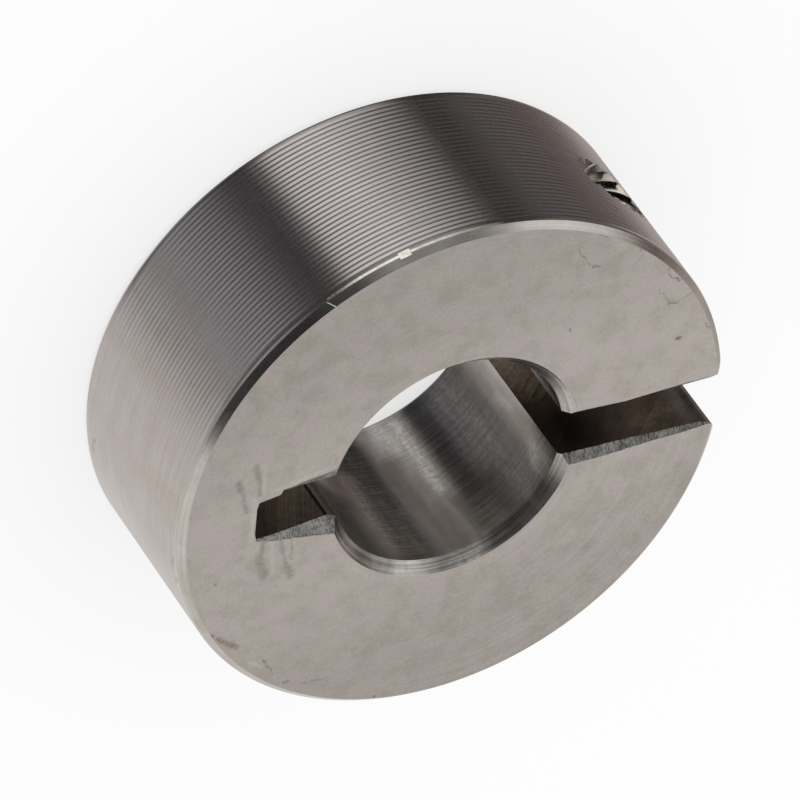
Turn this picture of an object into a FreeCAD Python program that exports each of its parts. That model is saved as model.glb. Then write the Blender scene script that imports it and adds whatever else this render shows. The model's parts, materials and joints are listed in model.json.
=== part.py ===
import FreeCAD, Part
import math
import os
import Sketcher

# One-piece clamp collar for a 10 mm shaft, with its cap screw. Lengths are in millimetres.
# Frame: the origin is on the bore axis at the lower face and +Z runs along the bore.
# +X runs out through the open slit. The screw runs along Y, with its head on the -Y side.

SIZES = [
    # alias, value, what it is
    ("outside_dia", 24.0, "collar outside diameter"),
    ("collar_width", 9.0, "collar width along the bore"),
    ("bore_dia", 10.0, "bore, the shaft diameter it clamps"),
    ("rim_chamfer", 0.3, "chamfer on both outer edges"),
    ("bore_chamfer", 0.45, "chamfer at both ends of the bore"),
    ("saw_gap", 2.2, "width of the saw cut, in the slit and in the relief slot"),
    ("hinge_web", 3.4, "metal left between the blind end of the relief slot and the outside"),
    ("relief_corner", 0.3, "corner radius at the blind end of the relief slot"),
    ("screw_inset", 3.5, "outside of the collar to the screw axis"),
    ("jaw_web", 1.1, "metal between the slit wall and the seat of the screw head"),
    ("thread_dia", 3.0, "screw thread outside diameter"),
    ("thread_play", 0.03, "radial running clearance of the screw in the tapped hole"),
    ("shank_play", 0.2, "radial clearance of the screw through the head-side jaw"),
    ("head_play", 0.25, "radial clearance of the screw head in its counterbore"),
    ("head_dia", 5.5, "screw head diameter"),
    ("head_height", 3.0, "screw head height"),
    ("head_rounding", 0.3, "rounding at the top of the screw head"),
    ("neck_rounding", 0.1, "fillet between the screw head and its shank"),
    ("screw_length", 8.0, "screw length under the head"),
    ("tip_chamfer", 0.4, "chamfer at the screw tip"),
    ("socket_across", 2.5, "hexagon socket across its flats"),
    ("socket_depth", 1.5, "depth of the hexagon socket"),
    ("socket_lead", 0.25, "depth of the countersink at the socket mouth"),
    ("drill_angle", 118.0, "point angle of the drill that opened the socket, in degrees"),
]

# Places that several features share
RELIEF_REACH = "(Sizes.outside_dia / 2 - Sizes.hinge_web)"
SCREW_OFFSET = "(Sizes.outside_dia / 2 - Sizes.screw_inset)"
SCREW_LEVEL = "Sizes.collar_width / 2"
HEAD_SEAT = "(Sizes.saw_gap / 2 + Sizes.jaw_web)"

CUT_OVERRUN = 1.0    # how far an open cut runs past the metal
NEAR = 1e-4          # two places closer than this are the same

HORIZONTAL_AXIS = -1    # geometry number of a sketch's own horizontal axis, and its origin point
START, END, CENTRE = 1, 2, 3
HEX_SIDES = 6


def make_sheet(doc):
    sheet = doc.addObject("Spreadsheet::Sheet", "Sizes")
    for row, (alias, value, note) in enumerate(SIZES, start=1):
        sheet.set(f"A{row}", note)
        sheet.set(f"B{row}", str(value))
        sheet.setAlias(f"B{row}", alias)
    doc.recompute()
    return sheet


def origin_plane(body, role):
    return next(item for item in body.Origin.OriginFeatures if item.Role == role)


def add_sketch(body, name, role, lift=None):
    """A sketch on one of the body's own origin planes, raised along its normal by an expression."""
    sketch = body.newObject("Sketcher::SketchObject", name)
    sketch.AttachmentSupport = [(origin_plane(body, role), "")]
    sketch.MapMode = "FlatFace"
    if lift is not None:
        sketch.setExpression(".AttachmentOffset.Base.z", lift)
    return sketch


def add_polygon(sketch, points):
    """Closed outline of straight lines; returns the number of its first line."""
    first = len(sketch.Geometry)
    corners = [FreeCAD.Vector(x, y, 0) for x, y in points]
    for here, there in zip(corners, corners[1:] + corners[:1]):
        sketch.addGeometry(Part.LineSegment(here, there), False)
    for step in range(len(corners)):
        after = (step + 1) % len(corners)
        sketch.addConstraint(Sketcher.Constraint("Coincident", first + step, END, first + after, START))
    return first


def bind(sketch, name, constraint, formula):
    """Adds a named size to the sketch and ties it to the sheet."""
    number = sketch.addConstraint(constraint)
    sketch.renameConstraint(number, name)
    sketch.setExpression(f"Constraints.{name}", formula)


def place_point(sketch, line, point, name, across=None, along=None):
    """Sets a line's point from the sketch origin, each way by an expression or on the axis."""
    for kind, tag, formula in (("DistanceX", "across", across), ("DistanceY", "along", along)):
        if formula is not None:
            ends = (HORIZONTAL_AXIS, START, line, point)
            size = sketch.getPoint(line, point)
            value = size.x if kind == "DistanceX" else size.y
            bind(sketch, f"{name}_{tag}", Sketcher.Constraint(kind, *ends, value), formula)


def square_up(sketch, level=(), upright=()):
    for line in level:
        sketch.addConstraint(Sketcher.Constraint("Horizontal", line))
    for line in upright:
        sketch.addConstraint(Sketcher.Constraint("Vertical", line))


def revolve(body, name, sketch, kind="PartDesign::Revolution"):
    feature = body.newObject(kind, name)
    feature.Profile = sketch
    feature.ReferenceAxis = (sketch, ["V_Axis"])
    feature.Angle = 360.0


def cut_away(body, name, sketch, depth=None, along_normal=True):
    """Pocket along the sketch's own normal or against it, right through or to a depth."""
    feature = body.newObject("PartDesign::Pocket", name)
    feature.Profile = sketch
    feature.Reversed = along_normal
    if depth is None:
        feature.Type = "ThroughAll"
    else:
        feature.Type = "Length"
        feature.setExpression("Length", depth)


def edges_where(feature, test):
    edges = feature.Shape.Edges
    return [f"Edge{number}" for number, edge in enumerate(edges, start=1) if test(edge)]


def is_circle(edge, radius, level):
    curve = edge.Curve
    if not isinstance(curve, Part.Circle):
        return False
    return abs(curve.Radius - radius) < NEAR and abs(curve.Center.z - level) < NEAR


def treat_edges(body, name, kind, test, size):
    """Chamfers or fillets the edges of the body's last feature that pass the test."""
    base = body.Tip
    names = edges_where(base, test)
    if not names:
        raise RuntimeError(f"{name}: no edge found")
    feature = body.newObject(kind, name)
    feature.Base = (base, names)
    setting = "Size" if kind == "PartDesign::Chamfer" else "Radius"
    feature.setExpression(setting, size)
    body.Document.recompute()


def check_cut(body, before, name):
    """A cut that points away from the metal shows no error, so its volume is compared."""
    body.Document.recompute()
    after = body.Shape.Volume
    if not after < before - NEAR:
        raise RuntimeError(f"{name}: nothing was cut")
    return after


# Collar: a turned ring, sawn through one wall and part way into the other, then drilled
def make_collar(doc, sheet):
    body = doc.addObject("PartDesign::Body", "collar_body")
    body.Label = "collar_body"
    bore_radius = sheet.bore_dia / 2
    outer_radius = sheet.outside_dia / 2
    width = sheet.collar_width

    section = add_sketch(body, "ring_section", "XZ_Plane")
    corners = [(bore_radius, 0), (outer_radius, 0), (outer_radius, width), (bore_radius, width)]
    base = add_polygon(section, corners)
    square_up(section, level=(base, base + 2), upright=(base + 1, base + 3))
    section.addConstraint(Sketcher.Constraint("PointOnObject", base, START, HORIZONTAL_AXIS))
    place_point(section, base, START, "bore", across="Sizes.bore_dia / 2")
    place_point(section, base + 1, END, "rim", across="Sizes.outside_dia / 2", along="Sizes.collar_width")
    revolve(body, "ring", section)
    doc.recompute()

    def on_rim(edge):
        return is_circle(edge, outer_radius, 0) or is_circle(edge, outer_radius, width)

    def on_bore_end(edge):
        return is_circle(edge, bore_radius, 0) or is_circle(edge, bore_radius, width)

    treat_edges(body, "rim_chamfers", "PartDesign::Chamfer", on_rim, "Sizes.rim_chamfer")
    treat_edges(body, "bore_chamfers", "PartDesign::Chamfer", on_bore_end, "Sizes.bore_chamfer")
    volume = body.Shape.Volume

    cut_slit(body, sheet)
    check_cut(body, volume, "saw_cut")
    round_relief(body, sheet)

    volume = body.Shape.Volume
    holes = [
        ("tapped_hole", "Sizes.thread_dia / 2 + Sizes.thread_play", "0 mm", False),
        ("shank_hole", "Sizes.thread_dia / 2 + Sizes.shank_play", "0 mm", True),
        ("head_counterbore", "Sizes.head_dia / 2 + Sizes.head_play", HEAD_SEAT, True),
    ]
    for name, radius, lift, towards_head in holes:
        drill(body, sheet, name, radius, lift, towards_head)
        volume = check_cut(body, volume, name)
    return body


# The saw enters from +X, crosses the bore and stops inside the far wall
def cut_slit(body, sheet):
    sketch = add_sketch(body, "saw_path", "XY_Plane")
    reach = relief_reach(sheet)
    half = sheet.saw_gap / 2
    run_out = sheet.outside_dia / 2 + CUT_OVERRUN
    line = add_polygon(sketch, [(-reach, -half), (run_out, -half), (run_out, half), (-reach, half)])
    square_up(sketch, level=(line, line + 2), upright=(line + 1, line + 3))
    place_point(sketch, line, START, "blind_end", across=f"-{RELIEF_REACH}", along="-Sizes.saw_gap / 2")
    open_end = f"Sizes.outside_dia / 2 + {CUT_OVERRUN}"
    place_point(sketch, line + 1, END, "open_end", across=open_end, along="Sizes.saw_gap / 2")
    cut_away(body, "saw_cut", sketch)


def relief_reach(sheet):
    return sheet.outside_dia / 2 - sheet.hinge_web


def round_relief(body, sheet):
    reach = relief_reach(sheet)

    def at_blind_end(edge):
        box = edge.BoundBox
        upright = box.ZLength > NEAR and box.XLength < NEAR and box.YLength < NEAR
        return upright and abs(box.XMin + reach) < NEAR

    treat_edges(body, "relief_corners", "PartDesign::Fillet", at_blind_end, "Sizes.relief_corner")


# A round hole about the screw axis, at mid-width, from a plane at -Y by lift
def drill(body, sheet, name, radius, lift, towards_head):
    sketch = add_sketch(body, f"{name}_circle", "XZ_Plane", lift)
    offset = sheet.outside_dia / 2 - sheet.screw_inset
    centre = FreeCAD.Vector(offset, sheet.collar_width / 2, 0)
    circle = sketch.addGeometry(Part.Circle(centre, FreeCAD.Vector(0, 0, 1), sheet.thread_dia), False)
    bind(sketch, "radius", Sketcher.Constraint("Radius", circle, sheet.thread_dia), radius)
    place_point(sketch, circle, CENTRE, "centre", across=SCREW_OFFSET, along=SCREW_LEVEL)
    cut_away(body, name, sketch, along_normal=towards_head)


# Cap screw: its own origin is at the centre of the seat under the head, +Z towards the tip
def make_screw(doc, sheet):
    body = doc.addObject("PartDesign::Body", "clamp_screw")
    body.Label = "clamp_screw"
    head_radius = sheet.head_dia / 2
    shank_radius = sheet.thread_dia / 2
    top = -sheet.head_height
    tip = sheet.screw_length

    section = add_sketch(body, "screw_section", "XZ_Plane")
    head_corners = [(0, top), (head_radius, top), (head_radius, 0)]
    shank_corners = [(shank_radius, 0), (shank_radius, tip), (0, tip)]
    line = add_polygon(section, head_corners + shank_corners)
    square_up(section, level=(line, line + 2, line + 4), upright=(line + 1, line + 3, line + 5))
    place_point(section, line, START, "axis_top", across="0 mm", along="-Sizes.head_height")
    place_point(section, line + 1, END, "head", across="Sizes.head_dia / 2", along="0 mm")
    place_point(section, line + 3, END, "shank", across="Sizes.thread_dia / 2", along="Sizes.screw_length")
    revolve(body, "blank", section)
    doc.recompute()

    treat_edges(body, "head_edge", "PartDesign::Fillet",
                lambda edge: is_circle(edge, head_radius, top), "Sizes.head_rounding")
    treat_edges(body, "neck", "PartDesign::Fillet",
                lambda edge: is_circle(edge, shank_radius, 0), "Sizes.neck_rounding")
    treat_edges(body, "tip", "PartDesign::Chamfer",
                lambda edge: is_circle(edge, shank_radius, tip), "Sizes.tip_chamfer")
    cut_socket(body, sheet)

    # The screw lies along Y at mid-width, with its head seated on the floor of the counterbore
    body.Placement = FreeCAD.Placement(FreeCAD.Vector(), FreeCAD.Rotation(FreeCAD.Vector(1, 0, 0), -90))
    body.setExpression(".Placement.Base.x", SCREW_OFFSET)
    body.setExpression(".Placement.Base.y", f"-{HEAD_SEAT}")
    body.setExpression(".Placement.Base.z", SCREW_LEVEL)
    return body


# The socket is a hexagon with a drilled cone under it and a countersink round its corners
def cut_socket(body, sheet):
    volume = body.Shape.Volume
    hexagon = add_sketch(body, "socket_hexagon", "XY_Plane", "-Sizes.head_height")
    corner = sheet.socket_across / math.sqrt(3)
    angles = [side * math.tau / HEX_SIDES for side in range(HEX_SIDES)]
    first = add_polygon(hexagon, [(corner * math.cos(a), corner * math.sin(a)) for a in angles])
    ring = hexagon.addGeometry(Part.Circle(FreeCAD.Vector(), FreeCAD.Vector(0, 0, 1), corner), True)
    hexagon.addConstraint(Sketcher.Constraint("Coincident", ring, CENTRE, HORIZONTAL_AXIS, START))
    for side in range(HEX_SIDES):
        hexagon.addConstraint(Sketcher.Constraint("PointOnObject", first + side, START, ring))
    for side in range(1, HEX_SIDES):
        hexagon.addConstraint(Sketcher.Constraint("Equal", first, first + side))
    hexagon.addConstraint(Sketcher.Constraint("PointOnObject", first, START, HORIZONTAL_AXIS))
    bind(hexagon, "corner", Sketcher.Constraint("Radius", ring, corner), "Sizes.socket_across / sqrt(3)")
    cut_away(body, "socket", hexagon, "Sizes.socket_depth")
    volume = check_cut(body, volume, "socket")

    half_across = sheet.socket_across / 2
    floor = sheet.socket_depth - sheet.head_height
    point = floor + half_across / math.tan(math.radians(sheet.drill_angle / 2))
    cone = add_sketch(body, "drill_point", "XZ_Plane")
    line = add_polygon(cone, [(0, floor), (half_across, floor), (0, point)])
    square_up(cone, level=(line,), upright=(line + 2,))
    floor_level = "Sizes.socket_depth - Sizes.head_height"
    place_point(cone, line, START, "floor", across="0 mm", along=floor_level)
    place_point(cone, line, END, "edge", across="Sizes.socket_across / 2")
    slope = "tan(Sizes.drill_angle / 2 * 1 deg)"
    place_point(cone, line + 1, END, "point", along=f"{floor_level} + Sizes.socket_across / 2 / {slope}")
    revolve(body, "drill_cone", cone, "PartDesign::Groove")
    volume = check_cut(body, volume, "drill_cone")

    top = -sheet.head_height
    lead = sheet.socket_lead
    mouth = add_sketch(body, "mouth_section", "XZ_Plane")
    wide = half_across + lead
    corners = [(0, top), (wide, top), (half_across, top + lead), (0, top + lead)]
    line = add_polygon(mouth, corners)
    square_up(mouth, level=(line, line + 2), upright=(line + 3,))
    place_point(mouth, line, START, "top", across="0 mm", along="-Sizes.head_height")
    place_point(mouth, line, END, "wide", across="Sizes.socket_across / 2 + Sizes.socket_lead")
    lead_level = "Sizes.socket_lead - Sizes.head_height"
    place_point(mouth, line + 2, START, "narrow", across="Sizes.socket_across / 2", along=lead_level)
    revolve(body, "socket_mouth", mouth, "PartDesign::Groove")
    check_cut(body, volume, "socket_mouth")


def check_document(doc, nodes):
    for item in doc.Objects:
        if {"Invalid", "Error"} & set(item.State):
            raise RuntimeError(f"{item.Name} failed: {item.State}")
    for node in nodes:
        shape = node.Shape
        if shape.isNull() or not shape.isValid() or len(shape.Solids) != 1:
            raise RuntimeError(f"{node.Label} is not one sound solid")


def main():
    doc = FreeCAD.newDocument("shaft_collar")
    sheet = make_sheet(doc)
    nodes = [make_collar(doc, sheet), make_screw(doc, sheet)]
    doc.recompute()
    check_document(doc, nodes)
    os.makedirs("parts", exist_ok=True)
    for node in nodes:
        node.Shape.exportStep(f"parts/{node.Label}.step")
        box = node.Shape.BoundBox
        print(f"{node.Label}: {node.Shape.Volume:.2f} mm3, x {box.XMin:.2f} to {box.XMax:.2f},",
              f"y {box.YMin:.2f} to {box.YMax:.2f}, z {box.ZMin:.2f} to {box.ZMax:.2f}")


main()
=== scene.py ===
import json
import math
import random

import bmesh
import bpy
from mathutils import Matrix, Vector


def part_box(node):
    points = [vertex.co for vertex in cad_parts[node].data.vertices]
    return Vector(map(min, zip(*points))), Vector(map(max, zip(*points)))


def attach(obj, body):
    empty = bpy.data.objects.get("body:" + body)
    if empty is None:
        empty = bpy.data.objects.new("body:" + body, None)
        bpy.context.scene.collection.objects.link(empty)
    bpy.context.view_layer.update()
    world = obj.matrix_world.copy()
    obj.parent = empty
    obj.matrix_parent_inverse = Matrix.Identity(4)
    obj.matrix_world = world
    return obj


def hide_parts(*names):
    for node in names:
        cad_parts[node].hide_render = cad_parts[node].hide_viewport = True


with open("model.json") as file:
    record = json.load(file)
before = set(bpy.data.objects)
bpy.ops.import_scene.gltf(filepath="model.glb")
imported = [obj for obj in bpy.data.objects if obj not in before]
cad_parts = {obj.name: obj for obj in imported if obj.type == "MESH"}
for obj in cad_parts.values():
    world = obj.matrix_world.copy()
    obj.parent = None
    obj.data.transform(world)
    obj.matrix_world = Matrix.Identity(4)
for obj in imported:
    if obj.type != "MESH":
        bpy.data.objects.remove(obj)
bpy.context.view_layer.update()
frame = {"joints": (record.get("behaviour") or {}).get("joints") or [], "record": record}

mm = 0.001
fullTurn = math.tau

# distances in metres under which points are taken as one
weld = {
    "outline": 1e-7,
    "point": 1e-6,
    "sliver": 8e-7,
    "shading": 2e-7,
    "plane": 1e-8,
}
leastFaces = 10    # a loose group with fewer faces is left over from a cut


# sizes that the frame gives
def readFrame():
    low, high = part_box("collar_body")
    record = frame["record"]
    bore = next(mount for mount in record["mounts"] if mount["name"] == "bore")
    hinge = frame["joints"][0]
    seat = Vector(hinge["pos_m"])
    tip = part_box("clamp_screw")[1].y
    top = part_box("clamp_screw")[0].y
    return {
        "outer": high.y,
        "width": high.z,
        "bore": bore["dims"]["r_mm"] * mm,
        "boreChamfer": (high.z - bore["dims"]["length_mm"] * mm) / 2,
        "seat": seat,
        "shankLength": tip - seat.y,
        "headHeight": seat.y - top,
    }


made = readFrame()
print("frame read:", {key: value for key, value in made.items() if key != "seat"})


# mesh helpers
def newPiece(name, bm, materials=()):
    mesh = bpy.data.meshes.new(name)
    bm.to_mesh(mesh)
    bm.free()
    for material in materials:
        mesh.materials.append(material)
    piece = bpy.data.objects.new(name, mesh)
    bpy.context.scene.collection.objects.link(piece)
    return piece


def addChain(bm, points, closed=False):
    verts = [bm.verts.new(Vector(point)) for point in points]
    edges = [bm.edges.new(pair) for pair in zip(verts, verts[1:])]
    if closed:
        edges.append(bm.edges.new((verts[-1], verts[0])))
    return verts + edges


# turns a (radius, height) outline once round Z
def turnOutline(outline, steps, closed):
    bm = bmesh.new()
    geom = addChain(bm, [(radius, 0, height) for radius, height in outline], closed)
    bmesh.ops.spin(bm, geom=geom, cent=(0, 0, 0), axis=(0, 0, 1), dvec=(0, 0, 0),
                   angle=fullTurn, steps=steps, use_merge=True, use_duplicate=False)
    bmesh.ops.remove_doubles(bm, verts=bm.verts, dist=weld["outline"])
    bmesh.ops.recalc_face_normals(bm, faces=bm.faces)
    return bm


# a lofted bar through equal closed loops of points
def loftLoops(loops):
    bm = bmesh.new()
    rings = []
    for loop in loops:
        rings.append([item for item in addChain(bm, loop, True) if isinstance(item, bmesh.types.BMEdge)])
    for near, far in zip(rings, rings[1:]):
        bmesh.ops.bridge_loops(bm, edges=near + far)
    bmesh.ops.holes_fill(bm, edges=bm.edges, sides=0)
    bmesh.ops.recalc_face_normals(bm, faces=bm.faces)
    return bm


# faces that hang on the body by a corner only
def strayFaces(bm):
    left = set(bm.faces)
    strays = []
    while left:
        body = [left.pop()]
        for face in body:
            beside = {other for edge in face.edges for other in edge.link_faces} & left
            left -= beside
            body.extend(beside)
        if len(body) < leastFaces:
            strays.extend(body)
    return strays


# a cut leaves slivers under a micrometre wide, which are welded shut or taken off here
def clearSlivers(mesh):
    bm = bmesh.new()
    bm.from_mesh(mesh)
    bmesh.ops.remove_doubles(bm, verts=bm.verts, dist=weld["sliver"])
    bmesh.ops.dissolve_degenerate(bm, edges=bm.edges, dist=weld["sliver"])
    bmesh.ops.delete(bm, geom=strayFaces(bm), context="FACES")
    bmesh.ops.delete(bm, geom=[edge for edge in bm.edges if edge.is_wire], context="EDGES")
    loose = [vert for vert in bm.verts if len(vert.link_edges) == 2 and vert.is_boundary]
    bmesh.ops.dissolve_verts(bm, verts=loose)
    gaps = [edge for edge in bm.edges if edge.is_boundary]
    if gaps:
        beside = gaps[0].link_faces[0].material_index
        filled = bmesh.ops.edgeloop_fill(bm, edges=gaps, mat_nr=beside)["faces"]
        print("slivers:", len(gaps), "open edges filled with", len(filled), "faces")
        bmesh.ops.recalc_face_normals(bm, faces=bm.faces)
    bm.to_mesh(mesh)
    bm.free()


def cutWith(piece, cutter, operation="DIFFERENCE"):
    step = piece.modifiers.new("cut", "BOOLEAN")
    step.operation = operation
    step.solver = "EXACT"
    step.material_mode = "TRANSFER"
    step.object = cutter
    graph = bpy.context.evaluated_depsgraph_get()
    result = bpy.data.meshes.new_from_object(piece.evaluated_get(graph))
    piece.modifiers.clear()
    old = piece.data
    piece.data = result
    result.name = old.name
    bpy.data.meshes.remove(old)
    bpy.data.objects.remove(cutter)
    clearSlivers(result)


# smooth along each strip, sharp where two strips meet at an angle or change finish
def shadeByAngle(piece, limit):
    bm = bmesh.new()
    bm.from_mesh(piece.data)
    bmesh.ops.remove_doubles(bm, verts=bm.verts, dist=weld["shading"])
    bmesh.ops.dissolve_degenerate(bm, edges=bm.edges, dist=weld["shading"])
    for face in bm.faces:
        face.smooth = True
    for edge in bm.edges:
        faces = edge.link_faces
        oneFinish = len(faces) == 2 and faces[0].material_index == faces[1].material_index
        edge.smooth = oneFinish and edge.calc_face_angle(math.pi) < limit
    bm.to_mesh(piece.data)
    bm.free()
    piece.data.update()


# puts a mesh made about +Z onto the screw's axis, base at the head seat, +Z towards the tip
def ontoScrewAxis(bm):
    turn = Matrix.Rotation(-math.pi / 2, 4, "X")
    bmesh.ops.transform(bm, matrix=Matrix.Translation(made["seat"]) @ turn, verts=bm.verts)


# moves a point towards the Z axis
def drawIn(vert, share):
    vert.co.x *= share
    vert.co.y *= share


# thread: one pitch of the outline is swept along a right-hand helix
threadSpec = {
    "pitch": 0.5 * mm,
    "crestFlat": 0.07 * mm,
    "rootFlat": 0.10 * mm,
    "tapWider": 0.02 * mm,    # how much wider the tapped groove is than the screw's crest
    "segments": 72,
    "spareTurns": 2,          # made past each end, then cut off
}


def threadRod(outerRadius, rootRadius, start, end, wider=0.0):
    pitch = threadSpec["pitch"]
    steps = threadSpec["segments"]
    spare = threadSpec["spareTurns"]
    crestFlat = threadSpec["crestFlat"] + wider
    rootFlat = threadSpec["rootFlat"] - wider
    flank = (pitch - crestFlat - rootFlat) / 2
    heights = [0, rootFlat, rootFlat + flank, rootFlat + flank + crestFlat, pitch]
    radii = [rootRadius, rootRadius, outerRadius, outerRadius, rootRadius]
    shift = -(rootFlat + flank + crestFlat / 2)    # the crest stays put whatever the flats
    turns = math.ceil((end - start) / pitch) + 2 * spare
    first = (math.floor(start / pitch) - spare) * pitch + shift
    bm = bmesh.new()
    geom = addChain(bm, [(radius, 0, first + height) for radius, height in zip(radii, heights)])
    bmesh.ops.spin(bm, geom=geom, cent=(0, 0, 0), axis=(0, 0, 1), dvec=(0, 0, pitch / steps),
                   angle=fullTurn * turns, steps=steps * turns, use_merge=False, use_duplicate=False)
    bmesh.ops.remove_doubles(bm, verts=bm.verts, dist=weld["point"])
    for level, keep in ((start, 1), (end, -1)):
        everything = list(bm.verts) + list(bm.edges) + list(bm.faces)
        bmesh.ops.bisect_plane(bm, geom=everything, dist=weld["plane"], plane_co=(0, 0, level),
                               plane_no=(0, 0, keep), clear_inner=True)
    bmesh.ops.holes_fill(bm, edges=bm.edges, sides=0)
    bmesh.ops.recalc_face_normals(bm, faces=bm.faces)
    return bm


# collar
collarSpec = {
    "steps": 240,
    "rimChamfer": 0.3 * mm,
    "rimGlint": 0.035 * mm,       # narrow rubbed edge between the chamfer and the wall
    "groovePitch": 0.25 * mm,     # tool feed per turn, measured in the photograph
    "grooveDepth": 0.028 * mm,    # a soft wave, as a round-nosed tool and a light polish leave it
    "grooveSteps": 6,
    "sawHalf": 1.1 * mm,
    "reliefReach": 8.6 * mm,
    "over": 1 * mm,               # how far the saw's cutter stands out of the ring
    # plan of the saw cut in mm: the slit's mouth with its worn corners as (x, y), the worn corner where
    # the relief slot leaves the bore as (x, past the saw's side), and the slot's blind end, a little
    # narrower on its +Y side, as (past its reach, in from the saw's side)
    "mouth": [(11.1, 1.1), (11.4, 1.15), (11.62, 1.29), (11.76, 1.5), (11.82, 1.75), (11.84, 2.05)],
    "wornCorner": [(-4.3, 0), (-4.75, 0.24), (-5.3, 0)],
    "blindLow": [(0, 0), (0.08, 0.25)],
    "blindHigh": [(0.08, 0.62), (0, 0.30), (-0.9, 0.15), (-1.02, 0)],
    "mouthStart": 11.45 * mm,     # from here on the worn corner of one jaw has the wall's finish
    "tappedMajor": 1.53 * mm,
    "tappedMinor": 1.25 * mm,
    "tapStart": 0.5 * mm,         # short of the middle of the slit
    "shankHole": 1.7 * mm,
    "counterbore": 3.0 * mm,
    "holeSteps": 96,
    "rubbedAndGlintAzimuths": (84, 121),          # azimuths between which the rim's edge is bright: rubbed, and a painted glint
    "nick": {"azimuth": 104.5, "tilt": 20, "foot": 8.52 * mm, "wide": 0.5 * mm, "tall": 2 * mm,
             "reach": 1 * mm},
    "sharpAngle": math.radians(18),
}


def ringOutline(spec):
    outer = made["outer"]
    width = made["width"]
    bore = made["bore"]
    boreChamfer = made["boreChamfer"]
    chamfer = spec["rimChamfer"]
    glint = spec["rimGlint"]
    pitch = spec["groovePitch"]
    depth = spec["grooveDepth"]
    steps = spec["grooveSteps"]

    low = [(bore + boreChamfer, 0), (outer - chamfer, 0), (outer - glint, chamfer - glint),
           (outer, chamfer + 2 * glint)]
    wall = []
    start = chamfer + 3 * glint
    count = int((width - 2 * start) / pitch)
    margin = (width - count * pitch) / 2
    for number in range(count * steps + 1):
        wave = (1 - math.cos(fullTurn * number / steps)) / 2
        wall.append((outer - depth * wave, margin + number / steps * pitch))
    high = [(radius, width - height) for radius, height in reversed(low)]
    boreEnds = [(bore, width - boreChamfer), (bore, boreChamfer)]
    return low + wall + high + boreEnds


# the saw cut goes right through one side of the ring and part way into the other
def sawCutter(spec):
    half = spec["sawHalf"]
    reach = spec["reliefReach"]
    over = spec["over"]
    mouth = [(x * mm, y * mm) for x, y in spec["mouth"]]
    mouth.append((made["outer"] + over, mouth[-1][1]))
    plan = [(x, -y) for x, y in reversed(mouth)]
    plan += [(x * mm, -half - worn * mm) for x, worn in spec["wornCorner"]]
    plan += [(-reach - past * mm, -half + inset * mm) for past, inset in spec["blindLow"]]
    plan += [(-reach - past * mm, half - inset * mm) for past, inset in spec["blindHigh"]]
    plan += mouth
    bm = loftLoops([[(x, y, level) for x, y in plan] for level in (-over, made["width"] + over)])
    for face in bm.faces:
        centre = face.calc_center_median()
        face.material_index = int(centre.x > spec["mouthStart"] and centre.y > 0)
    return bm


# worn and filed edges of the saw cut: (x, width on the face, depth) from the bore outwards
edgeSpec = {
    "slitLow": [(4.2, 0.46, 0.36), (5.4, 0.38, 0.30), (6.6, 0.38, 0.27), (8.0, 0.30, 0.25),
                (9.2, 0.24, 0.18), (10.4, 0.22, 0.16), (11.3, 0.13, 0.11), (12.4, 0.08, 0.08)],
    "slitHigh": [(4.2, 0.22, 0.20), (6.2, 0.14, 0.12), (7.5, 0.06, 0.08), (9.0, 0.14, 0.12),
                 (10.4, 0.20, 0.14), (12.4, 0.22, 0.16)],
    "slotLow": [(-4.2, 0.85, 0.46), (-5.2, 0.75, 0.38), (-6.2, 0.55, 0.26), (-7.1, 0.40, 0.15),
                (-7.9, 0.30, 0.07), (-8.62, 0.10, 0.03)],
    "slotHigh": [(-4.2, 0.50, 0.14), (-5.2, 0.45, 0.13), (-6.0, 0.32, 0.11), (-6.6, 0.24, 0.10),
                 (-7.1, 0.12, 0.06), (-7.6, 0.07, 0.04)],
    "sides": {"slitLow": -1, "slitHigh": 1, "slotLow": -1, "slotHigh": 1},
    "rough": 0.014,      # how far the filed band is uneven, in mm
    "evenBelow": 0.25,   # places narrower than this are less uneven
    "least": 0.02,       # least width and depth
    "step": 0.07,        # spacing of its uneven places along the cut, in mm
    "plain": 0.08,       # width of the small edge break on the lower face
    "plainRough": 0.01,
    "plainRuns": [(4.2, 12.4), (-4.2, -8.5)],
}


def uneven(size, rough):
    least = edgeSpec["least"]
    return max(least, size + random.uniform(-rough, rough) * min(1, size / edgeSpec["evenBelow"]))


# a three-cornered bar that takes the edge off one side of the cut, at the level of one face: its
# slanting side meets the face at wide from the cut and the cut's wall at deep below the face
def edgeBar(stations, side, level, outward, rough, seed):
    half = collarSpec["sawHalf"] / mm
    random.seed(seed)
    spots = [stations[0]]
    for near, far in zip(stations, stations[1:]):
        pieces = max(1, round(abs(far[0] - near[0]) / edgeSpec["step"]))
        for number in range(1, pieces + 1):
            share = number / pieces
            spots.append(tuple(a + (b - a) * share for a, b in zip(near, far)))
    loops = []
    for x, wide, deep in spots:
        wide = uneven(wide, rough)
        deep = uneven(deep, rough)
        corners = [
            (x, side * (half + wide * 2), level + outward * deep),
            (x, side * (half - wide), level + outward * deep),
            (x, side * (half - wide), level - outward * deep * 2),
        ]
        loops.append([Vector(corner) * mm for corner in corners])
    return loops


def edgeBars(spec):
    width = made["width"] / mm
    bars = []
    for seed, (name, side) in enumerate(spec["sides"].items()):
        rough = spec["rough"] if side < 0 else spec["rough"] / 3
        bars.append(edgeBar(spec[name], side, width, 1, rough, seed))
    plain = spec["plain"]
    for seed, side in enumerate((-1, 1), start=10):
        for number, run in enumerate(spec["plainRuns"]):
            stations = [(x, plain, plain) for x in run]
            bars.append(edgeBar(stations, side, 0, -1, spec["plainRough"], seed + 5 * number))
    return bars


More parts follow.
